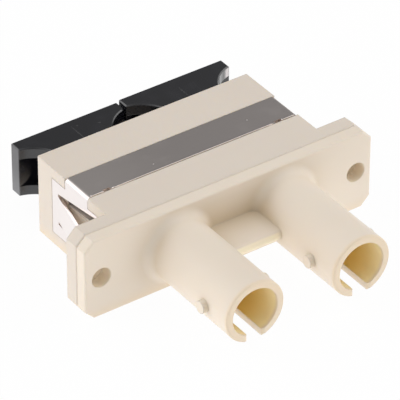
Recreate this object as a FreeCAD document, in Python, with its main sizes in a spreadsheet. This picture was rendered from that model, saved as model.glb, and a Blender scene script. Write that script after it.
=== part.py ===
import FreeCAD, Part
import os
import Sketcher

# Duplex ST to SC fibre adapter, in millimetres.
# X runs along the flange, -Y is the ST side with the two barrels, +Y is the SC side, +Z is up.
# The origin lies midway between the two screw holes, on the flange face that meets the panel.

# Driving dimensions

SIZES = [
    ("port_pitch", 12.7, "between the two fibre axes"),
    ("port_width", 9.0, "SC port opening, across"),
    ("port_height", 7.4, "SC port opening, upright"),
    ("port_lead", 0.3, "lead-in chamfer round each SC port"),
    ("side_wall", 1.85, "SC body wall beside a port"),
    ("top_wall", 0.9, "SC body wall above and below a port"),
    ("body_depth", 12.0, "SC body behind the flange"),
    ("body_edge", 0.06, "moulded rounding of the SC body's outer edges"),
    ("key_slot_width", 3.1, "SC key slot in the underside"),
    ("key_slot_length", 6.0, "SC key slot, from the port's mouth"),
    ("rear_flange", 1.7, "flange layer of the SC half"),
    ("front_flange", 1.45, "flange layer of the ST half"),
    ("flange_corner", 1.05, "cut corners of the flange"),
    ("flange_rim", 0.2, "rounded front rim of the flange"),
    ("parting_relief", 0.12, "bevel on both halves along the weld line"),
    ("screw_margin", 2.65, "from the body's side to a screw axis"),
    ("ear_margin", 1.91, "from a screw axis to the flange's end"),
    ("screw_hole", 2.2, "screw hole diameter"),
    ("barrel_diameter", 6.8, "ST barrel, outside"),
    ("barrel_bore", 5.26, "ST barrel, inside"),
    ("barrel_length", 12.95, "ST barrel, from the flange front"),
    ("barrel_flare", 0.95, "concave flare at the barrel's root"),
    ("barrel_lip", 0.15, "bevel round the barrel's mouth"),
    ("keyway_width", 1.7, "ST keyway through the barrel's underside"),
    ("keyway_stop", 1.85, "from the keyway's end to the bore's floor"),
    ("keyway_round", 0.35, "rounded corners of the keyway at the barrel's mouth"),
    ("lug_diameter", 1.35, "bayonet lug"),
    ("lug_height", 0.56, "bayonet lug, proud of the barrel"),
    ("lug_setback", 3.62, "from the barrel's mouth to the lug's axis"),
    ("web_thickness", 1.2, "web that ties the two barrels"),
    ("web_reach", 4.5, "web, from the flange front"),
    ("sleeve_bore", 2.5, "ferrule bore of the alignment sleeve"),
    ("sleeve_wall", 0.35, "alignment sleeve wall"),
    ("sleeve_length", 11.4, "alignment sleeve"),
    ("sleeve_slit", 0.3, "slit along the alignment sleeve"),
    ("sleeve_play", 0.05, "gap round the sleeve and at its ends"),
    ("seat_lip", 1.6, "stop between the sleeve's seat and the barrel bore"),
    ("lip_step", 0.25, "ferrule way in the stops, wider than the sleeve bore per side"),
    ("latch_base", 1.5, "base plate of the SC latch"),
    ("latch_shoulder", 0.3, "base plate, wider than the port per side"),
    ("latch_play", 0.05, "gap round the base plate"),
    ("latch_tube_wall", 0.55, "wall of the latch's sleeve tube"),
    ("latch_tip", 0.6, "stop at the tube's end"),
    ("arm_room", 0.3, "gap behind a latch arm, for its flexing"),
    ("arm_thickness", 0.7, "latch arm"),
    ("arm_height", 1.6, "latch arm, upright"),
    ("arm_setback", 3.2, "from the port's mouth to the arm's end"),
    ("nib_depth", 0.5, "latch hook, inwards"),
    ("nib_length", 1.4, "latch hook, along the arm"),
    ("clip_thickness", 0.3, "spring steel of the panel clip"),
    ("clip_bend", 0.15, "radius inside the clip's two folds"),
    ("clip_play", 0.05, "gap between clip and body"),
    ("band_front", 3.15, "from the flange to the clip's band"),
    ("band_width", 3.95, "clip band over the body's top"),
    ("notch_place", 2.38, "from the body's side to a band notch's middle"),
    ("notch_width", 0.8, "band notch"),
    ("notch_depth", 0.35, "band notch"),
    ("wing_front", 0.4, "from the flange to the clip's wing"),
    ("wing_overhang", 2.35, "wing, past the band's rear edge"),
    ("wing_shoulder", 1.25, "from the body's top to the wing's top"),
    ("wing_foot", 1.47, "from the body's underside to the wing's foot"),
    ("tang_root", 1.05, "from the wing's rear edge to the tang's bend"),
    ("panel_room", 2.75, "from the flange to the tang's tip"),
    ("tang_reach", 1.4, "how far the tang's tip stands out"),
    ("tang_rise", 1.72, "tang's top edge, above the fibre axes"),
    ("tang_drop", 1.35, "tang's bottom edge, below the fibre axes"),
    ("tang_slit", 0.31, "slit between tang and wing at the bend"),
    ("prong_front", 1.5, "from the flange to a wing prong's tip"),
    ("prong_tip", 0.36, "wing prong, upright, at its tip"),
    ("relief_place", 1.81, "from the fibre axes' plane to the relief behind a prong's tip"),
    ("relief_taper", 0.45, "relief, nearer to that plane at its rear end"),
    ("relief_height", 1.1, "relief behind a prong, upright at the prong's tip"),
    ("relief_depth", 1.0, "relief behind a prong, below the clip's seat"),
    ("relief_length", 5.6, "relief behind a prong, along the body"),
    ("cap_overhang", 0.03, "dust cap's grip, past half the port pitch per side"),
    ("cap_play", 0.4, "between the cap's plug and a latch arm"),
    ("cap_headroom", 0.825, "between the cap's plug and the port, upright"),
    ("cap_plate", 1.42, "back plate of the cap's grip"),
    ("cap_scoop", 4.25, "radius of the scooped finger grips"),
    ("cap_rail", 1.22, "top and bottom rails of the cap"),
    ("cap_rib", 3.2, "rib between the rails, across"),
    ("cap_corner", 0.15, "rounded back corners of the cap"),
    ("cap_edge", 0.12, "moulded bevel of the cap's rims"),
    ("cap_tip_gap", 1.25, "between the plug's end and the latch's tube"),
    ("left_cap_stand", 5.05, "left cap's back, from the SC body"),
    ("left_cap_shift", 0.09, "left cap, to +X of its port"),
    ("left_cap_lift", 0.305, "left cap, above its port's axis"),
    ("right_cap_stand", 4.85, "right cap's back, from the SC body"),
    ("right_cap_shift", 0.25, "right cap, to +X of its port"),
    ("right_cap_lift", 0.675, "right cap, above its port's axis"),
]

doc = FreeCAD.newDocument("adapter")
sheet = doc.addObject("Spreadsheet::Sheet", "sizes")
for row, (alias, value, note) in enumerate(SIZES, start=1):
    sheet.set(f"A{row}", alias)
    sheet.set(f"B{row}", str(value))
    sheet.set(f"C{row}", note)
    sheet.setAlias(f"B{row}", alias)
doc.recompute()


# Sizes that are both a number and the sheet expression that gives it

class Dim:
    """A length worked out from the sheet: its value now, and the expression that keeps it bound."""

    def __init__(self, value, text):
        self.value = value
        self.text = text

    @staticmethod
    def of(item):
        return item if isinstance(item, Dim) else Dim(float(item), repr(float(item)))

    def joined(self, other, sign, value):
        return Dim(value, f"({self.text} {sign} {other.text})")

    def __add__(self, other):
        other = Dim.of(other)
        return self.joined(other, "+", self.value + other.value)

    def __sub__(self, other):
        other = Dim.of(other)
        return self.joined(other, "-", self.value - other.value)

    def __mul__(self, other):
        other = Dim.of(other)
        return self.joined(other, "*", self.value * other.value)

    def __truediv__(self, other):
        other = Dim.of(other)
        return self.joined(other, "/", self.value / other.value)

    def __neg__(self):
        return Dim(-self.value, f"(-1 * {self.text})")

    def root(self):
        return Dim(self.value ** 0.5, f"sqrt({self.text})")


size = {alias: Dim(float(sheet.get(alias)), f"sizes.{alias}") for alias, _, _ in SIZES}
ZERO = Dim.of(0)

# Places shared by several pieces

axis_x = size["port_pitch"] / 2
port_half = size["port_width"] / 2
body_half = axis_x + port_half + size["side_wall"]
top = size["port_height"] / 2 + size["top_wall"]
screw_x = body_half + size["screw_margin"]
flange_half = screw_x + size["ear_margin"]
parting_y = -size["rear_flange"]
flange_front_y = parting_y - size["front_flange"]
mouth_y = flange_front_y - size["barrel_length"]
barrel_r = size["barrel_diameter"] / 2
bore_r = size["barrel_bore"] / 2
sleeve_r = size["sleeve_bore"] / 2 + size["sleeve_wall"]
seat_r = sleeve_r + size["sleeve_play"]
seat_depth = size["sleeve_length"] / 2 + size["sleeve_play"]
ferrule_way_r = size["sleeve_bore"] / 2 + size["lip_step"]
bore_floor_y = parting_y - seat_depth - size["seat_lip"]
base_y = parting_y + size["latch_base"]
tube_tip_y = parting_y + seat_depth + size["latch_tip"]
arm_outer = port_half - size["arm_room"]
arm_inner = arm_outer - size["arm_thickness"]
arm_tip_y = size["body_depth"] - size["arm_setback"]
band_rear = size["band_front"] + size["band_width"]
wing_rear = band_rear + size["wing_overhang"]
wing_top = top - size["wing_shoulder"]
wing_bottom = size["wing_foot"] - top
tang_hinge = wing_rear - size["tang_root"]
recess = size["clip_thickness"] + size["clip_play"]


# Building helpers

def new_body(label):
    body = doc.addObject("PartDesign::Body", label)
    body.Label = label
    return body


def plane(body, role):
    """The body's own origin plane with that role."""
    return next(item for item in body.Origin.OriginFeatures if item.Role == role)


def new_sketch(body, role, name, lift=ZERO, shift=ZERO):
    """A sketch on an origin plane, lifted along its normal and shifted along its own X."""
    sketch = body.newObject("Sketcher::SketchObject", name)
    sketch.AttachmentSupport = [(plane(body, role), "")]
    sketch.MapMode = "FlatFace"
    sketch.AttachmentOffset = FreeCAD.Placement(
        FreeCAD.Vector(shift.value, 0, lift.value), FreeCAD.Rotation())
    sketch.setExpression("AttachmentOffset.Base.x", shift.text)
    sketch.setExpression("AttachmentOffset.Base.z", lift.text)
    return sketch


def bind(sketch, kind, places, dim):
    """Adds a driving constraint of that kind and ties it to the sheet."""
    number = sketch.addConstraint(Sketcher.Constraint(kind, *places, dim.value))
    sketch.setExpression(f"Constraints[{number}]", dim.text)


def add_circle(sketch, x, y, radius):
    centre = FreeCAD.Vector(x.value, y.value, 0)
    ring = sketch.addGeometry(Part.Circle(centre, FreeCAD.Vector(0, 0, 1), radius.value))
    bind(sketch, "DistanceX", (-1, 1, ring, 3), x)
    bind(sketch, "DistanceY", (-1, 1, ring, 3), y)
    bind(sketch, "Radius", (ring,), radius)


def minor_arc(start, end, radius, bulge):
    """An arc drawn anticlockwise; bulge +1 bows it left of the way from start to end, -1 right."""
    chord = end - start
    left = FreeCAD.Vector(-chord.y, chord.x, 0).normalize()
    inset = max(radius ** 2 - (chord.Length / 2) ** 2, 0) ** 0.5
    centre = (start + end) * 0.5 - left * (bulge * inset)
    ring = Part.Circle(centre, FreeCAD.Vector(0, 0, 1), radius)
    first, last = (start, end) if bulge < 0 else (end, start)
    return Part.ArcOfCircle(ring, ring.parameter(first), ring.parameter(last))


def add_outline(sketch, corners, arcs=()):
    """A closed outline through corners; arcs maps a side's number to its radius and its bulge."""
    arcs = dict(arcs)
    corners = [(Dim.of(x), Dim.of(y)) for x, y in corners]
    points = [FreeCAD.Vector(x.value, y.value, 0) for x, y in corners]
    sides = []
    tips = []
    for number, start in enumerate(points):
        end = points[(number + 1) % len(points)]
        radius, bulge = arcs.get(number, (None, -1))
        curve = minor_arc(start, end, radius.value, bulge) if radius else Part.LineSegment(start, end)
        sides.append(sketch.addGeometry(curve))
        tips.append((1, 2) if bulge < 0 else (2, 1))
    for number, side in enumerate(sides):
        before = number - 1
        place = (side, tips[number][0])
        sketch.addConstraint(Sketcher.Constraint("Coincident", sides[before], tips[before][1], *place))
        bind(sketch, "DistanceX", (-1, 1, *place), corners[number][0])
        bind(sketch, "DistanceY", (-1, 1, *place), corners[number][1])
    for number, (radius, _) in arcs.items():
        bind(sketch, "Radius", (sides[number],), radius)


def add_box_outline(sketch, left, right, bottom, upper):
    add_outline(sketch, [(left, bottom), (right, bottom), (right, upper), (left, upper)])


def add_cut_corner_outline(sketch, half_width, half_height, cut):
    """A rectangle about the origin with its corners cut off at 45 degrees."""
    inner_x = half_width - cut
    inner_y = half_height - cut
    add_outline(sketch, [
        (-inner_x, -half_height), (inner_x, -half_height),
        (half_width, -inner_y), (half_width, inner_y),
        (inner_x, half_height), (-inner_x, half_height),
        (-half_width, inner_y), (-half_width, -inner_y),
    ])


def feature(body, kind, name, sketch, length=None, backwards=False, midplane=False):
    """A Pad or Pocket of a sketch, with its length tied to the sheet."""
    made = body.newObject(f"PartDesign::{kind}", name)
    made.Profile = sketch
    made.Reversed = backwards
    if midplane:
        made.Midplane = True
    made.Length = length.value
    made.setExpression("Length", length.text)
    doc.recompute()
    return made


def turned(body, kind, name, sketch):
    """A Revolution or Groove of a sketch about the sketch's own upright axis."""
    made = body.newObject(f"PartDesign::{kind}", name)
    made.Profile = sketch
    made.ReferenceAxis = (sketch, ["V_Axis"])
    made.Angle = 360
    doc.recompute()
    return made


def mirrored(body, name, originals, role="YZ_Plane"):
    made = body.newObject("PartDesign::Mirrored", name)
    made.Originals = originals
    made.MirrorPlane = (plane(body, role), [""])
    body.Tip = made
    doc.recompute()
    return made


def edges_where(shape, wanted):
    """Names of the edges of a shape that a test accepts."""
    return [f"Edge{number}" for number, edge in enumerate(shape.Edges, start=1) if wanted(edge)]


def dress(body, kind, name, base, names, dim):
    """A Fillet or Chamfer on named edges, with its size tied to the sheet."""
    made = body.newObject(f"PartDesign::{kind}", name)
    made.Base = (base, names)
    side = "Radius" if kind == "Fillet" else "Size"
    setattr(made, side, dim.value)
    made.setExpression(side, dim.text)
    doc.recompute()
    return made


NEAR = 1e-4


def lies_at_y(edge, y):
    """True where the whole edge lies in the plane of that y."""
    box = edge.BoundBox
    return abs(box.YMin - y.value) < NEAR and abs(box.YMax - y.value) < NEAR


def outlines_flange(edge, y):
    """True for an edge of the flange's outer outline at that y."""
    if not lies_at_y(edge, y):
        return False
    middle = edge.valueAt((edge.FirstParameter + edge.LastParameter) / 2)
    past_x = abs(middle.x) > flange_half.value - size["flange_corner"].value
    past_z = abs(middle.z) > top.value - NEAR
    hole_half = size["screw_hole"].value / 2
    on_hole = abs(abs(middle.x) - screw_x.value) < hole_half + NEAR and abs(middle.z) < hole_half + NEAR
    return (past_x or past_z) and not on_hole


# SC half: flange layer, body, two ports, key slots and the seat of the clip

def build_sc_housing():
    body = new_body("sc_housing")
    outline = new_sketch(body, "XZ_Plane", "sc_flange_outline")
    add_cut_corner_outline(outline, flange_half, top, size["flange_corner"])
    feature(body, "Pad", "sc_flange", outline, size["rear_flange"])

    block = new_sketch(body, "XZ_Plane", "sc_block_outline")
    add_box_outline(block, -body_half, body_half, -top, top)
    last = feature(body, "Pad", "sc_block", block, size["body_depth"], backwards=True)

    def block_edge(edge):
        middle = edge.CenterOfMass
        on_rear = lies_at_y(edge, size["body_depth"])
        along = abs(abs(middle.x) - body_half.value) < NEAR and abs(abs(middle.z) - top.value) < NEAR
        return on_rear or along

    dress(body, "Fillet", "sc_block_edges", last, edges_where(last.Shape, block_edge), size["body_edge"])

    seats = new_sketch(body, "XZ_Plane", "latch_seats", lift=size["rear_flange"])
    ports = new_sketch(body, "XZ_Plane", "sc_ports", lift=-size["body_depth"])
    slots = new_sketch(body, "XY_Plane", "key_slots", lift=-top)
    seat_x = port_half + size["latch_shoulder"] + size["latch_play"]
    seat_z = size["port_height"] / 2 + size["latch_shoulder"] + size["latch_play"]
    for axis in (-axis_x, axis_x):
        add_box_outline(seats, axis - seat_x, axis + seat_x, -seat_z, seat_z)
        add_box_outline(ports, axis - port_half, axis + port_half,
                        -size["port_height"] / 2, size["port_height"] / 2)
        slot_half = size["key_slot_width"] / 2
        add_box_outline(slots, axis - slot_half, axis + slot_half,
                        size["body_depth"] - size["key_slot_length"], size["body_depth"])
    feature(body, "Pocket", "latch_seat_cut", seats, size["latch_base"] + size["latch_play"])
    port_way = size["body_depth"] + size["rear_flange"]
    last = feature(body, "Pocket", "sc_port_cut", ports, port_way, backwards=True)

    def port_mouth(edge):
        middle = edge.CenterOfMass
        inside_x = abs(middle.x) < (axis_x + port_half).value + NEAR
        inside_z = abs(middle.z) < size["port_height"].value / 2 + NEAR
        return lies_at_y(edge, size["body_depth"]) and inside_x and inside_z

    dress(body, "Chamfer", "sc_port_leads", last, edges_where(last.Shape, port_mouth), size["port_lead"])
    feature(body, "Pocket", "key_slot_cut", slots, size["top_wall"], backwards=True)

    groove = new_sketch(body, "XY_Plane", "band_groove", lift=top)
    add_box_outline(groove, -body_half, body_half,
                    size["band_front"] - size["clip_play"], band_rear + size["clip_play"])
    feature(body, "Pocket", "band_groove_cut", groove, recess)

    seat = new_sketch(body, "YZ_Plane", "wing_seat", lift=body_half)
    play = size["clip_play"]
    add_outline(seat, [
        (ZERO, wing_bottom - play), (wing_rear + play, wing_bottom - play),
        (wing_rear + play, wing_top + play), (band_rear + play, wing_top + play),
        (band_rear + play, top), (size["band_front"] - play, top),
        (size["band_front"] - play, wing_top + play), (ZERO, wing_top + play),
    ])
    wing_cut = feature(body, "Pocket", "wing_seat_cut", seat, recess)
    relief = new_sketch(body, "YZ_Plane", "prong_reliefs", lift=body_half - recess)
    relief_end = size["prong_front"] + size["relief_length"]
    relief_near = size["relief_place"] - size["relief_taper"]
    relief_far = size["relief_place"] + size["relief_height"]
    for side in (-1, 1):
        add_outline(relief, [
            (size["prong_front"], size["relief_place"] * side), (relief_end, relief_near * side),
            (relief_end, relief_far * side), (size["prong_front"], relief_far * side),
        ])
    relief_cut = feature(body, "Pocket", "prong_relief_cut", relief, size["relief_depth"])
    mirrored(body, "wing_seats", [wing_cut, relief_cut])

    screws = new_sketch(body, "XZ_Plane", "sc_screw_holes", lift=size["rear_flange"])
    for place in (-screw_x, screw_x):
        add_circle(screws, place, ZERO, size["screw_hole"] / 2)
    last = feature(body, "Pocket", "sc_screw_cut", screws, size["rear_flange"])

    def weld_edge(edge):
        return outlines_flange(edge, parting_y)

    weld_edges = edges_where(last.Shape, weld_edge)
    dress(body, "Chamfer", "sc_weld_bevel", last, weld_edges, size["parting_relief"])
    return body


# ST half: flange layer, two bayonet barrels and the web between them

def build_st_housing():
    body = new_body("st_housing")
    outline = new_sketch(body, "XZ_Plane", "st_flange_outline", lift=-parting_y)
    add_cut_corner_outline(outline, flange_half, top, size["flange_corner"])
    feature(body, "Pad", "st_flange", outline, size["front_flange"])

    screws = new_sketch(body, "XZ_Plane", "st_screw_holes", lift=-flange_front_y)
    for place in (-screw_x, screw_x):
        add_circle(screws, place, ZERO, size["screw_hole"] / 2)
    last = feature(body, "Pocket", "st_screw_cut", screws, size["front_flange"])

    def front_rim(edge):
        return outlines_flange(edge, flange_front_y)

    rim_edges = edges_where(last.Shape, front_rim)
    last = dress(body, "Fillet", "st_front_rim", last, rim_edges, size["flange_rim"])

    def weld_edge(edge):
        return outlines_flange(edge, parting_y)

    weld_edges = edges_where(last.Shape, weld_edge)
    dress(body, "Chamfer", "st_weld_bevel", last, weld_edges, size["parting_relief"])

    lip = size["barrel_lip"]
    flare = size["barrel_flare"]
    profile = new_sketch(body, "XY_Plane", "barrel_profile", shift=-axis_x)
    sunk_y = flange_front_y + size["front_flange"] / 2
    add_outline(profile, [
        (ZERO, sunk_y), (ZERO, mouth_y), (barrel_r - lip, mouth_y), (barrel_r, mouth_y + lip),
        (barrel_r, flange_front_y - flare), (barrel_r + flare, flange_front_y), (barrel_r + flare, sunk_y),
    ], {4: (flare, 1)})
    barrel = turned(body, "Revolution", "barrel", profile)

    lug_face = new_sketch(body, "YZ_Plane", "lug_outline", lift=-axis_x)
    add_circle(lug_face, mouth_y + size["lug_setback"], ZERO, size["lug_diameter"] / 2)
    lugs = feature(body, "Pad", "lugs", lug_face, (barrel_r + size["lug_height"]) * 2, midplane=True)
    mirrored(body, "barrel_pair", [barrel, lugs])

    half = size["web_thickness"] / 2
    nose_y = flange_front_y - size["web_reach"]
    section = new_sketch(body, "YZ_Plane", "web_section")
    add_outline(section, [
        (sunk_y, -half), (sunk_y, half), (nose_y + half, half), (nose_y, ZERO), (nose_y + half, -half),
    ], {2: (half, -1), 3: (half, -1)})
    feature(body, "Pad", "web", section, size["port_pitch"] - barrel_r, midplane=True)

    bore = new_sketch(body, "XY_Plane", "bore_profile", shift=-axis_x)
    add_outline(bore, [
        (ZERO, parting_y), (ZERO, mouth_y), (bore_r, mouth_y), (bore_r, bore_floor_y),
        (ferrule_way_r, bore_floor_y), (ferrule_way_r, parting_y - seat_depth),
        (seat_r, parting_y - seat_depth), (seat_r, parting_y),
    ])
    bore_cut = turned(body, "Groove", "bore", bore)
    keyway = new_sketch(body, "XY_Plane", "keyway_outline", shift=-axis_x)
    key_half = size["keyway_width"] / 2
    key_end_y = bore_floor_y - size["keyway_stop"]
    corner = size["keyway_round"]
    add_outline(keyway, [
        (-key_half - corner, mouth_y), (key_half + corner, mouth_y), (key_half, mouth_y + corner),
        (key_half, key_end_y), (-key_half, key_end_y), (-key_half, mouth_y + corner),
    ], {1: (corner, 1), 5: (corner, 1)})
    keyway_cut = feature(body, "Pocket", "keyway", keyway, barrel_r)
    mirrored(body, "bore_pair", [bore_cut, keyway_cut])
    return body


# Panel clip: one folded strip of spring steel with a tang on each side

def build_panel_clip():
    body = new_body("panel_clip")
    gauge = size["clip_thickness"]
    inner_bend = size["clip_bend"]
    outer_bend = inner_bend + gauge
    inner_x = body_half - gauge
    inner_z = top - gauge
    fold = new_sketch(body, "XZ_Plane", "clip_fold", lift=-size["wing_front"])
    add_outline(fold, [
        (-body_half, wing_bottom), (-inner_x, wing_bottom), (-inner_x, inner_z - inner_bend),
        (inner_bend - inner_x, inner_z), (inner_x - inner_bend, inner_z), (inner_x, inner_z - inner_bend),
        (inner_x, wing_bottom), (body_half, wing_bottom), (body_half, top - outer_bend),
        (body_half - outer_bend, top), (outer_bend - body_half, top), (-body_half, top - outer_bend),
    ], {2: (inner_bend, 1), 4: (inner_bend, 1), 8: (outer_bend, -1), 10: (outer_bend, -1)})
    feature(body, "Pad", "folded_strip", fold, wing_rear - size["wing_front"], backwards=True)

    trim = new_sketch(body, "XY_Plane", "band_trim", lift=top)
    reach = body_half + gauge
    notch_x = body_half - size["notch_place"]
    notch_half = size["notch_width"] / 2
    front = size["band_front"]
    notch_y = front + size["notch_depth"]
    add_outline(trim, [
        (-reach, ZERO), (reach, ZERO), (reach, front),
        (notch_x + notch_half, front), (notch_x + notch_half, notch_y),
        (notch_x - notch_half, notch_y), (notch_x - notch_half, front),
        (notch_half - notch_x, front), (notch_half - notch_x, notch_y),
        (-notch_half - notch_x, notch_y), (-notch_half - notch_x, front), (-reach, front),
    ])
    add_box_outline(trim, -reach, reach, band_rear, wing_rear + gauge)
    feature(body, "Pocket", "band", trim, size["wing_shoulder"])

    tang_top = size["tang_rise"]
    tang_bottom = -size["tang_drop"]
    slit = size["tang_slit"]
    window = new_sketch(body, "YZ_Plane", "wing_window")
    add_outline(window, [
        (ZERO, wing_bottom + size["prong_tip"]), (size["prong_front"], wing_bottom + size["prong_tip"]),
        (tang_hinge, tang_bottom - slit), (tang_hinge, tang_top + slit),
        (size["prong_front"], wing_top - size["prong_tip"]), (ZERO, wing_top - size["prong_tip"]),
    ])
    feature(body, "Pocket", "window", window, reach * 2, midplane=True)
    ends = new_sketch(body, "YZ_Plane", "prong_ends")
    add_box_outline(ends, ZERO, size["prong_front"], wing_bottom - gauge, wing_top + gauge)
    feature(body, "Pocket", "prong_trim", ends, reach * 2, midplane=True)

    tang_outline = new_sketch(body, "XY_Plane", "tang_outline", lift=tang_bottom)
    tip_x = -body_half - size["tang_reach"]
    add_outline(tang_outline, [
        (-body_half, tang_hinge), (tip_x, size["panel_room"]), (tip_x + gauge, size["panel_room"]),
        (-inner_x, tang_hinge), (-inner_x, tang_hinge + gauge), (-body_half, tang_hinge + gauge),
    ])
    tang = feature(body, "Pad", "tang", tang_outline, tang_top - tang_bottom)
    mirrored(body, "tangs", [tang])
    return body


# SC latches: a base plate with a sleeve tube and two hooked arms in each port

def build_sc_latch(label, axis):
    body = new_body(label)
    base_x = port_half + size["latch_shoulder"]
    base_z = size["port_height"] / 2 + size["latch_shoulder"]
    plate = new_sketch(body, "XZ_Plane", f"{label}_base_outline", lift=-parting_y)
    add_box_outline(plate, axis - base_x, axis + base_x, -base_z, base_z)
    feature(body, "Pad", f"{label}_base", plate, size["latch_base"], backwards=True)

    tube = new_sketch(body, "XZ_Plane", f"{label}_tube_outline", lift=-parting_y)
    add_circle(tube, axis, ZERO, seat_r + size["latch_tube_wall"])
    feature(body, "Pad", f"{label}_tube", tube, tube_tip_y - parting_y, backwards=True)

    arms = new_sketch(body, "XY_Plane", f"{label}_arm_outlines")
    root_y = base_y - size["latch_base"] / 2
    hook_y = arm_tip_y - size["nib_length"]
    nib_x = arm_inner - size["nib_depth"]
    for side in (-1, 1):
        add_outline(arms, [
            (axis + arm_outer * side, root_y), (axis + arm_outer * side, arm_tip_y),
            (axis + arm_inner * side, arm_tip_y), (axis + nib_x * side, hook_y + size["nib_depth"]),
            (axis + nib_x * side, hook_y), (axis + arm_inner * side, hook_y),
            (axis + arm_inner * side, root_y),
        ])
    feature(body, "Pad", f"{label}_arms", arms, size["arm_height"], midplane=True)

    seat = new_sketch(body, "XZ_Plane", f"{label}_seat_outline", lift=-parting_y)
    add_circle(seat, axis, ZERO, seat_r)
    feature(body, "Pocket", f"{label}_seat", seat, seat_depth)
    way = new_sketch(body, "XZ_Plane", f"{label}_way_outline", lift=-parting_y)
    add_circle(way, axis, ZERO, ferrule_way_r)
    feature(body, "Pocket", f"{label}_way", way, tube_tip_y - parting_y)
    return body


# Alignment sleeves: slit tubes, half in the latch's tube and half in the ST barrel

def build_split_sleeve(label, axis):
    body = new_body(label)
    start_y = parting_y - size["sleeve_length"] / 2
    ring = new_sketch(body, "XZ_Plane", f"{label}_ring", lift=-start_y)
    add_circle(ring, axis, ZERO, sleeve_r)
    add_circle(ring, axis, ZERO, size["sleeve_bore"] / 2)
    feature(body, "Pad", f"{label}_tube", ring, size["sleeve_length"], backwards=True)
    slit = new_sketch(body, "XZ_Plane", f"{label}_slit_outline", lift=-start_y)
    slit_half = size["sleeve_slit"] / 2
    add_box_outline(slit, axis - slit_half, axis + slit_half, ZERO, sleeve_r + size["sleeve_wall"])
    feature(body, "Pocket", f"{label}_slit", slit, size["sleeve_length"])
    return body


# Dust caps: a scooped grip behind the port and a plug between the latch arms

def build_dust_cap(label, axis, stand, shift, lift):
    body = new_body(label)
    middle = axis + shift
    back_y = size["body_depth"] + stand
    plate_y = back_y - size["cap_plate"]
    tip_y = tube_tip_y + size["cap_tip_gap"]
    half = axis_x + size["cap_overhang"]
    neck = arm_inner - size["cap_play"]
    scoop = size["cap_scoop"]
    flare = half - neck
    scoop_y = plate_y - (scoop * scoop - (scoop - flare) * (scoop - flare)).root()
    height = size["port_height"] - size["cap_headroom"] * 2
    corner = size["cap_corner"]

    plan = new_sketch(body, "XY_Plane", f"{label}_plan", lift=lift)
    add_outline(plan, [
        (middle - neck, tip_y), (middle + neck, tip_y), (middle + neck, scoop_y), (middle + half, plate_y),
        (middle + half, back_y - corner), (middle + half - corner, back_y),
        (middle - half + corner, back_y), (middle - half, back_y - corner),
        (middle - half, plate_y), (middle - neck, scoop_y),
    ], {2: (scoop, 1), 4: (corner, -1), 6: (corner, -1), 8: (scoop, 1)})
    feature(body, "Pad", f"{label}_grip", plan, height, midplane=True)

    pockets = new_sketch(body, "XY_Plane", f"{label}_pocket_outlines", lift=lift)
    rib_half = size["cap_rib"] / 2
    for side in (-1, 1):
        add_outline(pockets, [
            (middle + rib_half * side, tip_y), (middle + half * side, tip_y),
            (middle + half * side, plate_y), (middle + rib_half * side, plate_y),
        ])
    clear = height - size["cap_rail"] * 2
    last = feature(body, "Pocket", f"{label}_pockets", pockets, clear, midplane=True)

    def rim(edge):
        level = abs(edge.CenterOfMass.z - lift.value)
        flat = edge.BoundBox.ZLength < NEAR
        behind_port = edge.BoundBox.YMax > size["body_depth"].value
        return flat and behind_port and abs(level - height.value / 2) < NEAR

    dress(body, "Chamfer", f"{label}_rims", last, edges_where(last.Shape, rim), size["cap_edge"])
    return body


pieces = [
    build_sc_housing(),
    build_st_housing(),
    build_panel_clip(),
    build_sc_latch("sc_latch_left", -axis_x),
    build_sc_latch("sc_latch_right", axis_x),
    build_split_sleeve("split_sleeve_left", -axis_x),
    build_split_sleeve("split_sleeve_right", axis_x),
    build_dust_cap("sc_dust_cap_left", -axis_x, size["left_cap_stand"], size["left_cap_shift"],
                   size["left_cap_lift"]),
    build_dust_cap("sc_dust_cap_right", axis_x, size["right_cap_stand"], size["right_cap_shift"],
                   size["right_cap_lift"]),
]
doc.recompute()

# Every object has to be sound before anything is written

for item in doc.Objects:
    troubles = {"Invalid", "Error"} & set(item.State)
    if troubles:
        raise RuntimeError(f"{item.Label} failed: {sorted(troubles)}")
for piece in pieces:
    if piece.Shape.isNull() or not piece.Shape.isValid():
        raise RuntimeError(f"{piece.Label} has no sound shape")

os.makedirs("parts", exist_ok=True)
for piece in pieces:
    piece.Shape.exportStep(f"parts/{piece.Label}.step")
    print(f"{piece.Label}: {len(piece.Shape.Solids)} solid, {piece.Shape.Volume:.2f} mm3")
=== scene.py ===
# %% [markdown]
# A duplex fibre adapter, ready for its looks
#
# The adapter joins two ST plugs on one side to two SC plugs on the other. Its solids come from the
# CAD frame, which is loaded first and never moved. They could be modelled again here, but then the
# two models might drift apart. So this lesson gives every solid a finish and adds only the small
# things that a mould, a press and a weld leave on real parts.

import math

import bmesh
import bpy
import numpy as np
from mathutils import Matrix, Vector


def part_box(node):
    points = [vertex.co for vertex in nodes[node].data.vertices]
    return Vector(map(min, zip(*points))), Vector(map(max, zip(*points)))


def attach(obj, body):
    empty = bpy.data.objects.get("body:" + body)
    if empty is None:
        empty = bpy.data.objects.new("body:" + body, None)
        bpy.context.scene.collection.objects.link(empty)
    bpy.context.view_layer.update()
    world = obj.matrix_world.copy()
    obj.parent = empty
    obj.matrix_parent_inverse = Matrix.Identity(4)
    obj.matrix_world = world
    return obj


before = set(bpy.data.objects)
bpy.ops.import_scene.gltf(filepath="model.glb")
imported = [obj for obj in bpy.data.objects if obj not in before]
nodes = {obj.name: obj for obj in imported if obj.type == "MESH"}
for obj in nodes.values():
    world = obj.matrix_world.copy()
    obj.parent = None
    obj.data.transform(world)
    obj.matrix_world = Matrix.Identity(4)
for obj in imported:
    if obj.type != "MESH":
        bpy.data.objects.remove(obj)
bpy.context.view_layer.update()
MM = 0.001
print("nodes:", ", ".join(sorted(nodes)))

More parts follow.
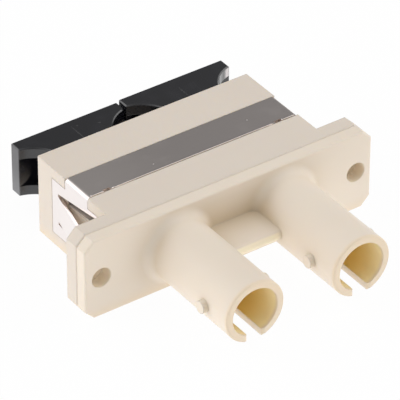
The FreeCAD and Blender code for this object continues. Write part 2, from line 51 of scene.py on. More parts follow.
# %% [markdown]
# Measures that the frame gives
#
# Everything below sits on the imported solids. Their places could be typed in, but would be wrong as
# soon as a solid changed, so they are read from the solids' boxes. A place that no box gives, such
# as a fibre axis, is a named value in millimetres.

# %% Places on the adapter
st_low, st_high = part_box("st_housing")
sc_low, sc_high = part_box("sc_housing")
clip_low, clip_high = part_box("panel_clip")
cap_boxes = {side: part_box(f"sc_dust_cap_{side}") for side in ("left", "right")}
parting_y = st_high.y
mouth_y = st_low.y
flange_half_x = sc_high.x
top_z = sc_high.z
axis_x = 6.35 * MM
barrel_radius = 3.4 * MM
bore_radius = 2.63 * MM
print("ST mouth at", round(mouth_y / MM, 2), "mm, weld line at", round(parting_y / MM, 2), "mm")
print("clip is", round((clip_high.x - clip_low.x) / MM, 2), "mm wide over its tangs")

# %% [markdown]
# A camera where the photographer stood
#
# The adapter was photographed with a long lens, from the left and well above. A camera could be
# turned by hand until the picture fits, but the photo's vanishing lines give the view directly. So
# the camera is set on a globe round its target, by azimuth and elevation, and rolled by a hair.

# %% Camera
IMAGE_PX = 400
SENSOR_MM = 36.0
focal_px = 3987.67
view_azimuth = math.radians(-35.2)
view_elevation = math.radians(35.753)
view_roll = math.radians(0.175)
view_distance = 388.225 * MM
view_target = Vector((-3.733, -3.17, 4.462)) * MM
nearest_seen, farthest_seen = 0.01, 10.0


def aim(azimuth, elevation, roll):
    """Right, up and back of a camera on a globe round its target, turned about its line of sight.

    Back is (sin az cos el, -cos az cos el, sin el), right is level, and up is their cross product.
    """
    back = Vector((math.sin(azimuth) * math.cos(elevation),
                   -math.cos(azimuth) * math.cos(elevation),
                   math.sin(elevation)))
    right = Vector((math.cos(azimuth), math.sin(azimuth), 0.0))
    up = back.cross(right)
    rolled_right = right * math.cos(roll) + up * math.sin(roll)
    rolled_up = up * math.cos(roll) - right * math.sin(roll)
    return rolled_right, rolled_up, back


right, up, back = aim(view_azimuth, view_elevation, view_roll)
lens = bpy.data.cameras.new("camera")
lens.sensor_width = SENSOR_MM
lens.lens = focal_px / IMAGE_PX * SENSOR_MM
lens.clip_start = nearest_seen
lens.clip_end = farthest_seen
camera = bpy.data.objects.new("camera", lens)
camera.matrix_world = Matrix.Translation(view_target + back * view_distance) @ Matrix(
    (right, up, back)).transposed().to_4x4()
bpy.context.scene.collection.objects.link(camera)
bpy.context.scene.camera = camera
print("lens", round(lens.lens, 1), "mm")

# %% [markdown]
# Sums on shader sockets
#
# A material is a graph of nodes, and most of its nodes are small sums. They could be wired one by
# one, but the sum would be hard to read. This class wraps one output socket instead, so that a sum
# is written as Python writes it: each operator adds one Math node. Any other node comes from
# `node`, which sets the node's own settings first and then fills its sockets.

# %% Socket class


def plug(socket, value):
    """Links a Socket to an input, or sets any other value on that input."""
    if isinstance(value, Socket):
        value.tree.links.new(value.output, socket)
    else:
        socket.default_value = value


class Socket:
    """One output of a shader node, used in sums as a number is."""

    def __init__(self, tree, output=None):
        self.tree = tree
        self.output = output

    def node(self, kind, settings=None, output=0, **inputs):
        """Adds a node; input names have _ for a space, and in0, in1 are inputs by their number."""
        made = self.tree.nodes.new(kind)
        for key, value in (settings or {}).items():
            setattr(made, key, value)
        for key, value in inputs.items():
            number = key.removeprefix("in")
            plug(made.inputs[int(number) if number.isdigit() else key.replace("_", " ")], value)
        return Socket(self.tree, made.outputs[output] if made.outputs else None)

    def math(self, operation, *others):
        """A Math node on this socket and any others."""
        values = {f"in{number}": value for number, value in enumerate((self, *others))}
        return self.node("ShaderNodeMath", {"operation": operation}, **values)

    def __add__(self, other):
        return self.math("ADD", other)

    def __sub__(self, other):
        return self.math("SUBTRACT", other)

    def __rsub__(self, other):
        return self.node("ShaderNodeMath", {"operation": "SUBTRACT"}, in0=other, in1=self)

    def __mul__(self, other):
        return self.math("MULTIPLY", other)

    __radd__ = __add__
    __rmul__ = __mul__

    def ramp(self, low, high):
        """0 below low, 1 above high, and a smooth step between."""
        return self.node("ShaderNodeMapRange", {"interpolation_type": "SMOOTHSTEP"},
                         Value=self, From_Min=low, From_Max=high)

    def fall(self, low, high):
        """1 below low, 0 above high, and a smooth step between."""
        return 1 - self.ramp(low, high)

    def mixed(self, first, second):
        """A colour between first and second, by this factor."""
        return self.node("ShaderNodeMix", {"data_type": "RGBA"}, output=2,
                         in0=self, in6=first, in7=second)

    def axes(self):
        """The x, y and z parts of a vector."""
        split = self.node("ShaderNodeSeparateXYZ", Vector=self).output.node
        return [Socket(self.tree, output) for output in split.outputs]

    def noise(self, scale, detail=2.0, roughness=0.5):
        """Soft random spots about 1/scale metres apart, from 0 to 1."""
        return self.node("ShaderNodeTexNoise",
                         Vector=self, Scale=scale, Detail=detail, Roughness=roughness)

    def stretched(self, x, y, z):
        """The vector with its parts multiplied, which draws a pattern out along the smallest."""
        return self.node("ShaderNodeVectorMath", {"operation": "MULTIPLY"}, in0=self, in1=(x, y, z))


print("socket class ready")

# %% [markdown]
# Helpers for finishes
#
# Each finish is a Principled shader that reads Object coordinates, so its pattern stays on the
# piece when the piece moves. The finishes share five helpers: for a new finish, its sockets, a
# bumped normal, a colour from a picture editor, and a CAD node that is dressed in a finish.

# %% Finish helpers


def new_finish(name):
    """A material with a plain Principled shader; returns it, its shader and Object coordinates."""
    material = bpy.data.materials.new(name)
    material.use_nodes = True
    tree = material.node_tree
    shader = tree.nodes["Principled BSDF"]
    place = Socket(tree).node("ShaderNodeTexCoord", output="Object")
    return material, shader, place


def fill(shader, **values):
    """Sets or links the shader's sockets, named with _ for a space."""
    for key, value in values.items():
        plug(shader.inputs[key.replace("_", " ")], value)


def bumped(height, distance, strength, normal=None):
    """A normal tilted by a height map; distance is the height in metres that 1 stands for."""
    links = {"Normal": normal} if normal else {}
    return height.node("ShaderNodeBump",
                       Height=height, Distance=distance, Strength=strength, **links)


def srgb(red, green, blue):
    """A colour as a picture editor gives it, 0 to 255, turned into the light that shaders use."""
    share = np.array([red, green, blue]) / 255.0
    light = np.where(share <= 0.04045, share / 12.92, ((share + 0.055) / 1.055) ** 2.4)
    return (*light.tolist(), 1.0)


def dress(name, finish):
    """Gives a CAD node one finish in place of its plain one."""
    nodes[name].data.materials.clear()
    nodes[name].data.materials.append(finish)


print("finish helpers ready")

# %% [markdown]
# Cream housing plastic
#
# Both halves are moulded in a cream plastic that lets some light through, so edges look soft. They
# come from two batches: the SC half is a shade greyer. The skin has a fine satin grain. Round the
# barrels' roots and in the holes, painted shade turns the cream a dull olive. Inside the barrels a
# painted glow turns it ochre. The mouths, the screw holes, the front of the web and the lower edges
# get a little painted glow. In the clip's windows the plastic is painted paler, as painted light.
# Painted shade greys the reliefs behind the clip's prongs and browns the plastic under its notches.
#
# A painted picture would need the solids unwrapped. So each change is a mask instead, a soft 0 or 1
# that is worked out from the place in space.

# %% Housing places
web_front_y = -7.65 * MM
web_core, web_fade = 0.1 * MM, 0.3 * MM
web_half_x, web_end_x = 2.4 * MM, 3.0 * MM
screw_x = 15.35 * MM
screw_radius = 1.1 * MM
screw_inset = 0.02 * MM
rim_fade = 0.06 * MM
mouth_core, mouth_fade = 0.05 * MM, 0.5 * MM
wall_deep, wall_skin = 0.12 * MM, 0.02 * MM
bore_glow_depth = 5 * MM
low_glow_height = 1.6 * MM
seam_fade = box_fade = 0.03 * MM
relief_shade_start_y, relief_shade_end_y = 2.4 * MM, 4.2 * MM
relief_box = (11.2, 1.4, 1.3), (12.3, 7.2, 3.0)
notch_box = (9.85, 3.0, 4.0), (10.8, 3.9, 4.56)
window_box = (11.6, 1.4, -1.0), (12.4, 7.5, 1.3)
print("screw holes", round(2 * screw_x / MM, 2), "mm apart, web front", round(web_front_y / MM, 2))

# %% Housing masks


def in_mirrored_box(x, y, z, box):
    """1 inside a box, given by two corners in mm, and inside its mirror images in X and Z."""
    inside = 1.0
    for part, start, end in zip((x.math("ABSOLUTE"), y, z.math("ABSOLUTE")), *box):
        rising = part.ramp(start * MM, start * MM + box_fade)
        falling = part.fall(end * MM, end * MM + box_fade)
        inside = rising * falling * inside
    return inside


def barrel_masks(x, y, z):
    """In a bore, within a barrel's wall, and at a mouth, by the distance from a fibre axis."""
    aside = x.math("ABSOLUTE") - axis_x
    radius = (aside * aside + z * z).math("SQRT")
    past_mouth = y.ramp(mouth_y, mouth_y + mouth_fade)
    in_bore = radius.fall(bore_radius, bore_radius + rim_fade) * past_mouth
    under_skin = radius.fall(barrel_radius - wall_deep, barrel_radius - wall_skin)
    in_wall = under_skin * y.fall(parting_y, 0.0)
    at_mouth = y.fall(mouth_y + mouth_core, mouth_y + mouth_fade)
    return in_bore, in_wall, at_mouth


def flange_masks(x, y, z):
    """In a screw hole, on the front of the web, and near the lower edges."""
    from_screw = x.math("ABSOLUTE") - screw_x
    radius = (from_screw * from_screw + z * z).math("SQRT")
    in_hole = radius.fall(screw_radius - screw_inset, screw_radius + rim_fade)
    rising = y.ramp(web_front_y - web_fade, web_front_y - web_core)
    falling = y.fall(web_front_y + web_core, web_front_y + web_fade)
    on_web = x.math("ABSOLUTE").fall(web_half_x, web_end_x) * (rising * falling)
    low_edge = z.fall(-top_z, low_glow_height - top_z)
    return in_hole, on_web, low_edge


print("housing masks ready")

# %% Housing colours
st_creams = srgb(231, 218, 202), srgb(236, 224, 208)
sc_creams = srgb(221, 209, 196), srgb(225, 214, 201)
# painted shade: olive cream for corners that little light reaches
painted_corner_shade = srgb(215, 199, 174)
# painted glow: warmer cream at the lower edges and mouths, and brighter on the web's front
painted_edge_glow = srgb(236, 216, 188)
painted_web_glow = srgb(250, 238, 211)
# painted light: paler cream in the screw holes and in the clip's windows
painted_hole_light = srgb(238, 225, 204)
painted_window_light = srgb(246, 235, 220)
# painted glow inside the bores: pale at the mouth, ochre deeper in
painted_bore_glows = srgb(249, 233, 188), srgb(244, 218, 144)
# painted shade: grey in the reliefs behind the clip's prongs, darkest at their front end
relief_shade_greys = srgb(110, 102, 98), srgb(188, 178, 170)
# painted shade: brown under the clip's notches
notch_shade_brown = srgb(196, 182, 172)
cloud_scale = 140.0
corner_reach = 5.0 * MM
sky_samples = 16
hidden_range = 0.06, 0.65
low_glow, mouth_glow = 0.5, 0.8


def housing_colour(place):
    """Cream by batch, then painted shade, glow and light, each laid over by its mask."""
    x, y, z = place.axes()
    in_bore, in_wall, at_mouth = barrel_masks(x, y, z)
    in_hole, on_web, low_edge = flange_masks(x, y, z)
    in_relief = in_mirrored_box(x, y, z, relief_box)
    in_notch = in_mirrored_box(x, y, z, notch_box)
    in_window = in_mirrored_box(x, y, z, window_box)
    open_sky = place.node("ShaderNodeAmbientOcclusion",
                          {"samples": sky_samples, "only_local": True},
                          output="AO", Distance=corner_reach)
    hidden = (1 - open_sky) * (1 - in_wall)
    st_cream = place.noise(cloud_scale, detail=3.0).mixed(*st_creams)
    sc_cream = place.noise(cloud_scale, detail=3.0).mixed(*sc_creams)
    cream = y.ramp(parting_y, parting_y + seam_fade).mixed(st_cream, sc_cream)
    # painted shade: where the sky is hidden, round the barrels' roots, the cream turns olive
    shaded = hidden.ramp(*hidden_range).mixed(cream, painted_corner_shade)
    # painted glow at the lower edges and the barrels' mouths, and on the web's front
    thin = (low_edge * low_glow).math("MAXIMUM", at_mouth * mouth_glow)
    edged = on_web.mixed(thin.mixed(shaded, painted_edge_glow), painted_web_glow)
    # painted light in the screw holes and the clip's windows
    pale = in_window.mixed(painted_hole_light, painted_window_light)
    warm = in_hole.math("MAXIMUM", in_window).mixed(edged, pale)
    # painted glow inside the bores, ochre deeper in
    bore_glow = y.ramp(mouth_y, mouth_y + bore_glow_depth).mixed(*painted_bore_glows)
    # painted shade in the reliefs behind the prongs, darker toward their front end
    relief_shade = y.ramp(relief_shade_start_y, relief_shade_end_y).mixed(*relief_shade_greys)
    relief_shaded = in_relief.mixed(in_bore.mixed(warm, bore_glow), relief_shade)
    # painted shade under the clip's notches
    return in_notch.mixed(relief_shaded, notch_shade_brown)


print("housing colours ready")

# %% [markdown]
# The finish itself
#
# Moulded edges are never quite sharp. A Bevel modifier would change the CAD mesh, so a Bevel node
# rounds the edges in the normal alone, and the grain is added to it. A thin ring or bead can't
# scatter light inside, so such pieces get the same plastic without scattering.

# %% Housing finish
satin_scale, satin_least, satin_spread = 900.0, 0.46, 0.12
grain_scale, grain_height, grain_strength = 9000.0, 0.004 * MM, 0.5
housing_round, housing_round_samples = 0.22 * MM, 8
scatter_reach = 0.7 * MM
scatter_by_colour = (1.0, 0.7, 0.35)
housing_scatter = 0.12


def housing_plastic(name, scattering):
    """Cream plastic with a satin grain on softly rounded edges."""
    material, shader, place = new_finish(name)
    grain = place.noise(grain_scale, detail=3.0)
    rounded = place.node("ShaderNodeBevel", {"samples": housing_round_samples},
                         Radius=housing_round)
    fill(shader,
         Base_Color=housing_colour(place),
         Roughness=place.noise(satin_scale, detail=3.0) * satin_spread + satin_least,
         IOR=1.45,
         Specular_IOR_Level=0.4,
         Subsurface_Weight=scattering,
         Subsurface_Radius=scatter_by_colour,
         Subsurface_Scale=scatter_reach,
         Normal=bumped(grain, grain_height, grain_strength, rounded))
    return material


housing_finish = housing_plastic("housing_plastic", housing_scatter)
thin_finish = housing_plastic("housing_sheet", 0.0)
for name in ("sc_housing", "st_housing"):
    dress(name, housing_finish)
print("housing plastic on both halves")

# %% [markdown]
# Rolled spring steel
#
# The clip is stamped from bright rolled strip. Rolling leaves hair lines along the strip. They
# could be a scratched picture, but a noise that is drawn out along every direction but Y follows
# the strip round its folds. The lines change the roughness and tilt the surface a little. The band
# on top is a touch warmer than the two sides, and darker from its middle to its right. Two specks
# of dust lie on it.

# %% Clip finish
speck_places = ((-4.11, 4.26), (7.89, 5.19))
speck_radius, speck_core = 0.09 * MM, 0.4
speck_tint, speck_dulling, speck_roughness = 0.3, 0.2, 0.3
side_x = 12.7 * MM
side_fade_start, side_fade_end = 0.3 * MM, 0.1 * MM
darkening_start_x, darkening_end_x = -12.0 * MM, 0.0
lighter_band_steels = srgb(247, 238, 233), srgb(254, 245, 240)
darker_band_steels = srgb(230, 221, 217), srgb(237, 228, 224)
side_steels = srgb(243, 235, 232), srgb(249, 242, 240)
dust_white = srgb(250, 248, 246)
hair_stretch = (300.0, 26000.0, 300.0)
hair_height, hair_strength = 0.0012 * MM, 0.35
dull_scale, dull_range = 500.0, (0.55, 0.75)
steel_roughness, hair_roughness, dull_roughness = 0.16, 0.08, 0.05


def dust_specks(x, y):
    """1 at each speck's core and 0 past its rim, by the distance from its middle."""
    specks = 0
    for speck_x, speck_y in speck_places:
        off_x = x - speck_x * MM
        off_y = y - speck_y * MM
        away = (off_x * off_x + off_y * off_y).math("SQRT")
        specks = away.fall(speck_core * speck_radius, speck_radius) + specks
    return specks


def spring_steel():
    """Bright steel with hair lines along the folded strip, a few dull spots and two specks."""
    material, shader, place = new_finish("spring_steel")
    x, y, _ = place.axes()
    hair = place.stretched(*hair_stretch).noise(1.0, detail=4.0, roughness=0.6)
    dull = place.noise(dull_scale).ramp(*dull_range)
    speck = dust_specks(x, y)
    on_side = x.math("ABSOLUTE").ramp(side_x - side_fade_start, side_x - side_fade_end)
    # the band's steel darkens from its left end to its middle and stays darker to its right
    toward_right = x.ramp(darkening_start_x, darkening_end_x)
    band_steel = toward_right.mixed(hair.mixed(*lighter_band_steels), hair.mixed(*darker_band_steels))
    steel = on_side.mixed(band_steel, hair.mixed(*side_steels))
    roughness = hair * hair_roughness + dull * dull_roughness + speck * speck_roughness
    fill(shader,
         Base_Color=(speck * speck_tint).mixed(steel, dust_white),
         Metallic=1 - speck * speck_dulling,
         Roughness=roughness + steel_roughness,
         Normal=bumped(hair, hair_height, hair_strength))
    return material


steel_finish = spring_steel()
dress("panel_clip", steel_finish)
print("spring steel on the clip")

# %% [markdown]
# Black cap plastic
#
# The dust caps are cheap black mouldings. Their glossy skin could be one shiny black, but a clear
# coat over a rougher black gives both its sharp and its broad gloss. The pair's left end is painted
# a little grey, most at its foot, and the right end's scoop holds a painted reflection, almost
# white.
# Both ends are rougher under less coat. Masks by place are enough for that.

# %% Cap finish
caps_left_x = cap_boxes["left"][0].x
caps_right_x = cap_boxes["right"][1].x
caps_top_z = cap_boxes["right"][1].z
left_end_depth = 0.15 * MM
left_end_foot_z, left_end_crown_z = -2.6 * MM, 1.5 * MM
left_end_share, left_end_fade = 0.88, 0.46
scoop_end_y = cap_boxes["right"][1].y - 1.42 * MM
scoop_end_fade = 0.03 * MM
scoop_start, scoop_full = 0.9 * MM, 0.3 * MM
scoop_below, scoop_rim = 0.25 * MM, 0.1 * MM
scoop_reflection_share = 0.9
cap_blacks = srgb(18, 18, 23), srgb(27, 27, 33)
left_end_grey = srgb(112, 111, 114)
# painted reflection: a near-white crescent in the right end's scoop
painted_scoop_reflection = srgb(235, 229, 230)
rub_scale, rub_range = 420.0, (0.45, 0.8)
cap_roughness, rub_roughness, end_roughness = 0.2, 0.12, 0.15
cap_coat, end_coat_loss = 0.85, 0.4
wave_scale, wave_height, wave_strength = 600.0, 0.006 * MM, 0.3
cap_round, cap_round_samples = 0.1 * MM, 6


def cap_plastic():
    """Black plastic under a gloss with waves, a grey left end and a painted reflection in its scoop.
    """
    material, shader, place = new_finish("cap_plastic")
    x, y, z = place.axes()
    at_left = (x - caps_left_x).fall(0.0, left_end_depth)
    # the pair's left end is painted grey, most at its foot
    left_end_greying = at_left * (left_end_share - z.ramp(left_end_foot_z, left_end_crown_z) * left_end_fade)
    near_right = x.ramp(caps_right_x - scoop_start, caps_right_x - scoop_full)
    below_top = z.fall(caps_top_z - scoop_below, caps_top_z - scoop_rim)
    in_scoop = y.fall(scoop_end_y - scoop_end_fade, scoop_end_y)
    at_right = near_right * below_top * in_scoop
    at_end = at_left.math("MAXIMUM", at_right)
    rubbed = place.noise(rub_scale, detail=4.0).ramp(*rub_range)
    waves = place.noise(wave_scale)
    rounded = place.node("ShaderNodeBevel", {"samples": cap_round_samples}, Radius=cap_round)
    greyed = left_end_greying.mixed(rubbed.mixed(*cap_blacks), left_end_grey)
    fill(shader,
         # painted reflection in the right end's scoop
         Base_Color=(at_right * scoop_reflection_share).mixed(greyed, painted_scoop_reflection),
         Roughness=rubbed * rub_roughness + at_end * end_roughness + cap_roughness,
         Coat_Weight=cap_coat - at_end * end_coat_loss,
         Coat_Roughness=0.18,
         Normal=bumped(waves, wave_height, wave_strength, rounded))
    return material


cap_finish = cap_plastic()
for side in cap_boxes:
    dress(f"sc_dust_cap_{side}", cap_finish)
print("black plastic on the caps")

# %% [markdown]
# Pieces inside the ports
#
# The latches are moulded in a paler plastic, and the alignment sleeves are ground from white
# ceramic. They lie deep in the ports and could be left plain, but they show once a cap is out. So
# each gets its own colour, gloss and fine grain, and no more.

# %% Latch and sleeve finishes
latch_creams = srgb(224, 214, 198), srgb(234, 226, 212)
latch_cloud_scale, latch_satin_scale, latch_grain_scale = 300.0, 1500.0, 8000.0
latch_roughness, latch_roughness_spread = 0.4, 0.1
latch_grain_height, latch_grain_strength = 0.004 * MM, 0.4
ceramic_whites = srgb(236, 234, 228), srgb(244, 242, 238)
grind_stretch = (200.0, 30000.0, 200.0)
ceramic_roughness, grind_roughness = 0.14, 0.08
grind_height, grind_strength = 0.001 * MM, 0.3


def latch_plastic():
    """Pale plastic with a fine grain."""
    material, shader, place = new_finish("latch_plastic")
    satin = place.noise(latch_satin_scale)
    fill(shader,
         Base_Color=place.noise(latch_cloud_scale, detail=3.0).mixed(*latch_creams),
         Roughness=satin * latch_roughness_spread + latch_roughness,
         Normal=bumped(place.noise(latch_grain_scale), latch_grain_height, latch_grain_strength))
    return material


def sleeve_ceramic():
    """White ceramic, ground round, so its fine lines run about the axis."""
    material, shader, place = new_finish("sleeve_ceramic")
    lines = place.stretched(*grind_stretch).noise(1.0, detail=3.0)
    fill(shader,
         Base_Color=lines.mixed(*ceramic_whites),
         Roughness=lines * grind_roughness + ceramic_roughness,
         Normal=bumped(lines, grind_height, grind_strength))
    return material


latch_finish = latch_plastic()
sleeve_finish = sleeve_ceramic()
for side in ("left", "right"):
    dress(f"sc_latch_{side}", latch_finish)
    dress(f"split_sleeve_{side}", sleeve_finish)
print("inner pieces finished")

# %% [markdown]
# Surfaces on a grid
#
# New pieces could be drawn by hand, but a formula gives the same piece each time. So each is a
# grid: rows of points along one parameter, columns round the other. This helper joins neighbouring
# points into quads, wraps round where the grid closes on itself, and hands whole arrays to the
# mesh. Where a row shrinks to one point, as at a pole, its points are merged and close the piece.

# %% Grid helper
merge_distance = 0.0001 * MM


def full_turn(steps, offset=0.0):
    """Angles once round, without the last one, which would repeat the first."""
    return (np.arange(steps) + offset) / steps * 2 * np.pi


def grid_piece(name, points, finish, body, wrap_rows=False):
    """A mesh from an array of points (rows, columns, 3), with its columns wrapped round.

    Quads join each point to its next row and column. Rows wrap too where their path is closed.
    """
    rows, columns, _ = points.shape
    index = np.arange(rows * columns).reshape(rows, columns)
    index = np.hstack([index, index[:, :1]])
    if wrap_rows:
        index = np.vstack([index, index[:1]])
    quads = np.stack([index[:-1, :-1], index[:-1, 1:], index[1:, 1:], index[1:, :-1]], axis=-1)
    mesh = bpy.data.meshes.new(name)
    mesh.from_pydata(points.reshape(-1, 3), [], quads.reshape(-1, 4))
    shape = bmesh.new()
    shape.from_mesh(mesh)
    bmesh.ops.remove_doubles(shape, verts=shape.verts, dist=merge_distance)
    shape.to_mesh(mesh)
    shape.free()
    mesh.shade_smooth()
    mesh.materials.append(finish)
    piece = bpy.data.objects.new(name, mesh)
    bpy.context.scene.collection.objects.link(piece)
    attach(piece, body)
    print(name, "has", len(mesh.polygons), "faces")
    return piece


# %% [markdown]
# The weld bead
#
# The two halves are welded along the flange. The weld leaves a thin bead at the bottom of the
# groove between them. A curve with a round bevel could draw it, but a profile that is carried along
# the path here keeps its corners clean. The path has eight corners, two at each cut corner of the
# flange.

# %% Weld bead
flange_cut = 1.05 * MM
weld_inset = 0.16 * MM
bead_radius = 0.05 * MM
bead_corners = 8


def weld_bead(steps_per_side=12, steps_round=10):
    """A thin tube along a rectangle with cut corners.

    Each corner carries a circle, leaned halfway between the two sides that meet there and drawn out
    by 1 / cos(half the turn). The rings along a side are blends of the circles at its two ends.
    """
    half = np.array([flange_half_x, top_z]) - weld_inset
    inner = half - flange_cut
    quarter = np.array([(half[0], inner[1]), (inner[0], half[1])])
    flips = np.array([(1, 1), (-1, 1), (-1, -1), (1, -1)])
    orders = (1, -1, 1, -1)
    corners = np.vstack([(quarter * flip)[::order] for flip, order in zip(flips, orders)])
    half_turn = np.pi / bead_corners
    lean = half_turn + full_turn(bead_corners)
    ring = full_turn(steps_round)
    lift = np.cos(ring) / math.cos(half_turn)
    depth = np.broadcast_to(parting_y + bead_radius * np.sin(ring), (bead_corners, steps_round))
    circles = np.stack([corners[:, :1] + bead_radius * np.outer(np.cos(lean), lift),
                        depth,
                        corners[:, 1:] + bead_radius * np.outer(np.sin(lean), lift)], axis=-1)
    way = np.linspace(0.0, 1.0, steps_per_side, endpoint=False)[None, :, None, None]
    following = np.roll(circles, -1, axis=0)
    points = circles[:, None] * (1 - way) + following[:, None] * way
    return grid_piece("weld_bead", points.reshape(-1, steps_round, 3), thin_finish,
                      "adapter", wrap_rows=True)


weld_bead()

# %% [markdown]
# Rolled lips on the barrels
#
# The CAD barrels end in a plain bevel, and a moulded lip is round. A modifier could round it, but
# the CAD mesh is left alone, so a thin ring is laid over each bevel. It is a circle turned about
# the barrel's axis, from one side of the keyway to the other. A quarter of the circle shows, and
# the rest is buried in the wall.

# %% Barrel lips
lip_radius = 0.15 * MM
keyway_half_width = 1.2 * MM
keyway_half_angle = math.asin(keyway_half_width / barrel_radius)


def barrel_lip(side, axis, steps_round=120, steps_across=32):
    """A circle turned about the fibre axis, over the top, from keyway side to keyway side.

    Radius = barrel - lip + lip cos(s) and depth = lip (1 + sin(s)), for s once round the circle.
    Both ends are closed at the circle's middle.
    """
    over_top = np.linspace(keyway_half_angle, 2 * np.pi - keyway_half_angle, steps_round)
    turn = -np.pi / 2 + over_top
    turn = np.concatenate([turn[:1], turn, turn[-1:]])[:, None]
    across = full_turn(steps_across)[None, :]
    thick = np.full((steps_round + 2, 1), lip_radius)
    thick[[0, -1]] = 0.0
    radius = barrel_radius - lip_radius + thick * np.cos(across)
    points = np.stack([axis + np.cos(turn) * radius,
                       mouth_y + lip_radius + thick * np.sin(across),
                       np.sin(turn) * radius], axis=-1)
    return grid_piece(f"barrel_lip_{side}", points, thin_finish, "adapter")


barrel_lip("left", -axis_x)
barrel_lip("right", axis_x)

# %% [markdown]
# The clip's sheared edge
#
# A press shears steel strip and leaves its front edge a hair proud. Bump in the material could hint
# at it, but an edge that stands up catches light from every side. So it is a bar along the band's
# front, with the section of a rectangle whose corners are rounded. Its upright front mirrors the
# white ground and shows as a bright line. It is broken at the two notches and prouder outside them.

# %% Clip edge
band_front_y = 3.15 * MM
edge_reach = 0.01 * MM
edge_half_width = 0.1 * MM
edge_half_height = 0.1 * MM
edge_squareness = 0.3
edge_taper = 0.15
edge_spans = {"left": (-12.25, -10.74, 0.11),
              "middle": (-9.9, 9.9, 0.1),
              "right": (10.74, 12.25, 0.11)}


def signed_power(values, power):
    """The values' sizes to a power, with their signs kept."""
    return np.sign(values) * np.abs(values) ** power


def clip_edge(name, steps_along=40, steps_round=32):
    """A straight bar along X whose section is a superellipse.

    Across Y and Z it is cos and sin of the turn, each to the power of its squareness with its sign
    kept. Toward both ends it shrinks to a point, as the sine of the way to the power of its taper.
    """
    start_x, end_x, rise = (value * MM for value in edge_spans[name])
    way = np.linspace(0.0, 1.0, steps_along)[:, None]
    turn = full_turn(steps_round, offset=0.5)[None, :]
    swell = np.abs(np.sin(way * np.pi)) ** edge_taper
    swell[[0, -1]] = 0.0
    across = signed_power(np.cos(turn), edge_squareness)
    upward = signed_power(np.sin(turn), edge_squareness)
    middle_z = top_z + rise - edge_half_height
    points = np.stack(np.broadcast_arrays(
        start_x + (end_x - start_x) * way,
        band_front_y - edge_reach + edge_half_width * (1 + swell * across),
        middle_z + edge_half_height * swell * upward), axis=-1)
    return grid_piece(f"clip_edge_{name}", points, steel_finish, "adapter")


for name in edge_spans:
    clip_edge(name)

# %% [markdown]
# Mould marks on the caps
#
# Where two halves of a cap's mould meet, a fine ridge stands on its top. Two small round marks
# beside the left one show where the plastic was fed in and where a pin pushed the cap out. Bump
# could draw them, but a visible shape should also be in the mesh. So a ridge is a flattened
# spindle along Y and a mark is a flattened ball, both half sunk into the cap.

# %% Cap mould marks
mould_lines = {"left": (-6.05, 13.4, 16.2), "right": (6.5, 13.4, 15.4)}
ridge_half_width, ridge_height = 0.06 * MM, 0.018 * MM
feed_marks = ((-3.35, 15.04, 0.14), (-5.49, 15.81, 0.09))
feed_height = 0.05 * MM
cap_bodies = {"left": "left_cap", "right": "right_cap"}


def mould_line(side, rows=40, steps=16):
    """A spindle along Y: an ellipse in X and Z, times the square root of the sine of the way."""
    line_x, start_y, end_y = (value * MM for value in mould_lines[side])
    along = np.linspace(0.0, 1.0, rows)[:, None]
    turn = -full_turn(steps)[None, :]
    swell = np.abs(np.sin(along * np.pi)) ** 0.5
    swell[[0, -1]] = 0.0
    points = np.stack(np.broadcast_arrays(
        line_x + ridge_half_width * swell * np.cos(turn),
        start_y + (end_y - start_y) * along,
        cap_boxes[side][1].z + ridge_height * swell * np.sin(turn)), axis=-1)
    return grid_piece(f"mould_line_{side}", points, cap_finish, cap_bodies[side])


def feed_dot(number, rings=16, steps=24):
    """A flattened ball: out = radius sin(s), up = height cos(s), with s from pole to pole."""
    middle_x, middle_y, radius = (value * MM for value in feed_marks[number])
    fall = np.linspace(0.0, np.pi, rings)[:, None]
    turn = -full_turn(steps)[None, :]
    out = radius * np.sin(fall)
    points = np.stack(np.broadcast_arrays(
        middle_x + out * np.cos(turn),
        middle_y + out * np.sin(turn),
        cap_boxes["left"][1].z + feed_height * np.cos(fall)), axis=-1)
    return grid_piece(f"feed_dot_{number}", points, cap_finish, "left_cap")


for side in mould_lines:
    mould_line(side)
for number in range(len(feed_marks)):
    feed_dot(number)

# %% [markdown]
# Light
#
# The photo's light comes from two softboxes, one on each side of the camera, and from the white
# ground. Little comes from the camera's own side, from above or from behind. Area lamps could do
# this, but steel mirrors their hard edges, so the light is a dome of soft spots. Each spot has an
# azimuth counted from the camera and an elevation, both in degrees, a sharpness and a level, and
# fades as level exp(sharpness (cos(angle) - 1)). The clip's band mirrors the dome behind the
# adapter, where only the spots' faint tails overlap, so it looks dark.

# %% Dome of soft spots
scene = bpy.context.scene
scene.view_settings.view_transform = "Standard"
soft_spots = (
    (90, 20, 6.0, 1.52),
    (90, 52, 6.0, 0.9),
    (135, 20, 6.0, 0.62),
    (270, 20, 6.0, 1.74),
    (270, 52, 6.0, 0.84),
    (315, 20, 6.0, 0.54),
    (0, 90, 6.0, 0.2),
)
world = bpy.data.worlds.new("studio")
scene.world = world
world.use_nodes = True
world.node_tree.nodes.clear()
sky = Socket(world.node_tree)
direction = sky.node("ShaderNodeTexCoord", output="Generated")


def leaning(target):
    """How far a direction leans to a target: 1 toward it, 0 across, -1 away."""
    return sky.node("ShaderNodeVectorMath", {"operation": "DOT_PRODUCT"}, output="Value",
                    in0=direction, in1=target)


level = 0.0
for azimuth, elevation, sharpness, strength in soft_spots:
    spot = aim(view_azimuth + math.radians(azimuth), math.radians(elevation), 0.0)[2]
    level = ((leaning(tuple(spot)) - 1) * sharpness).math("EXPONENT") * strength + level
bright = sky.node("ShaderNodeCombineColor", Red=level, Green=level, Blue=level)
dome_light = sky.node("ShaderNodeBackground", Color=bright)
sky.node("ShaderNodeOutputWorld", Surface=dome_light)
print("dome of", len(soft_spots), "spots")

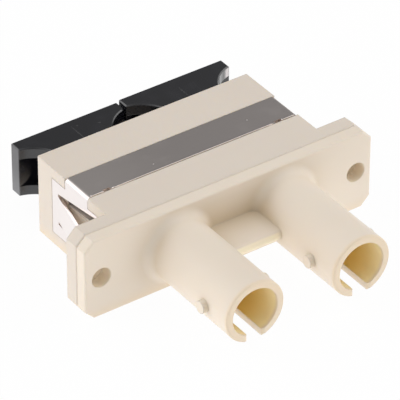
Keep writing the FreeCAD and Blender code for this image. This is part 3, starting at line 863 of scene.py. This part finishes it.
# %% [markdown]
# A white floor
#
# The floor has to look as white as the photo's ground and still carry the adapter's faint shadow.
# Plain white paper would need much more light on the adapter. So to the camera, in mirror surfaces
# and through glass, the floor is mostly a plain white glow, with a little lit paper mixed in. To
# other rays it is brighter than white, as a lit sweep is, and throws that light back up under the
# flange. From below it is clear, so that the underside can be looked at.

# %% Floor
floor_half = 1.5
floor_drop = 0.02 * MM
floor_z = sc_low.z - floor_drop
floor_level = 1.25
seen_glow_share, lit_glow_share = 0.96, 0.92
paper_white = (0.95, 0.95, 0.95, 1.0)
glow_white = (1.0, 1.0, 1.0, 1.0)


def white_floor():
    """White paper that mostly shows its own even white where it is seen, and is clear behind."""
    material = bpy.data.materials.new("white_floor")
    material.use_nodes = True
    material.node_tree.nodes.clear()
    start = Socket(material.node_tree)
    to_camera = start.node("ShaderNodeLightPath", output="Is Camera Ray")
    to_mirror = start.node("ShaderNodeLightPath", output="Is Glossy Ray")
    through_glass = start.node("ShaderNodeLightPath", output="Is Transmission Ray")
    seen = to_camera.math("MAXIMUM", to_mirror).math("MAXIMUM", through_glass)
    share = seen * (seen_glow_share - lit_glow_share) + lit_glow_share
    paper = start.node("ShaderNodeBsdfDiffuse", Color=paper_white)
    plain_glow = start.node("ShaderNodeEmission", Color=glow_white, Strength=1.0)
    lit_glow = start.node("ShaderNodeEmission", Color=glow_white, Strength=floor_level)
    glow = start.node("ShaderNodeMixShader", in0=seen, in1=lit_glow, in2=plain_glow)
    sheet = start.node("ShaderNodeMixShader", in0=share, in1=paper, in2=glow)
    clear = start.node("ShaderNodeBsdfTransparent")
    from_back = start.node("ShaderNodeNewGeometry", output="Backfacing")
    surface = start.node("ShaderNodeMixShader", in0=from_back, in1=sheet, in2=clear)
    start.node("ShaderNodeOutputMaterial", Surface=surface)
    return material


floor_corners = np.full((4, 3), floor_z)
floor_corners[:, :2] = np.array([[-1, -1], [1, -1], [1, 1], [-1, 1]]) * floor_half
floor_mesh = bpy.data.meshes.new("floor")
floor_mesh.from_pydata(floor_corners, [], [(0, 1, 2, 3)])
floor_mesh.materials.append(white_floor())
floor = bpy.data.objects.new("floor", floor_mesh)
scene.collection.objects.link(floor)
print("floor at", round(floor_z / MM, 2), "mm")
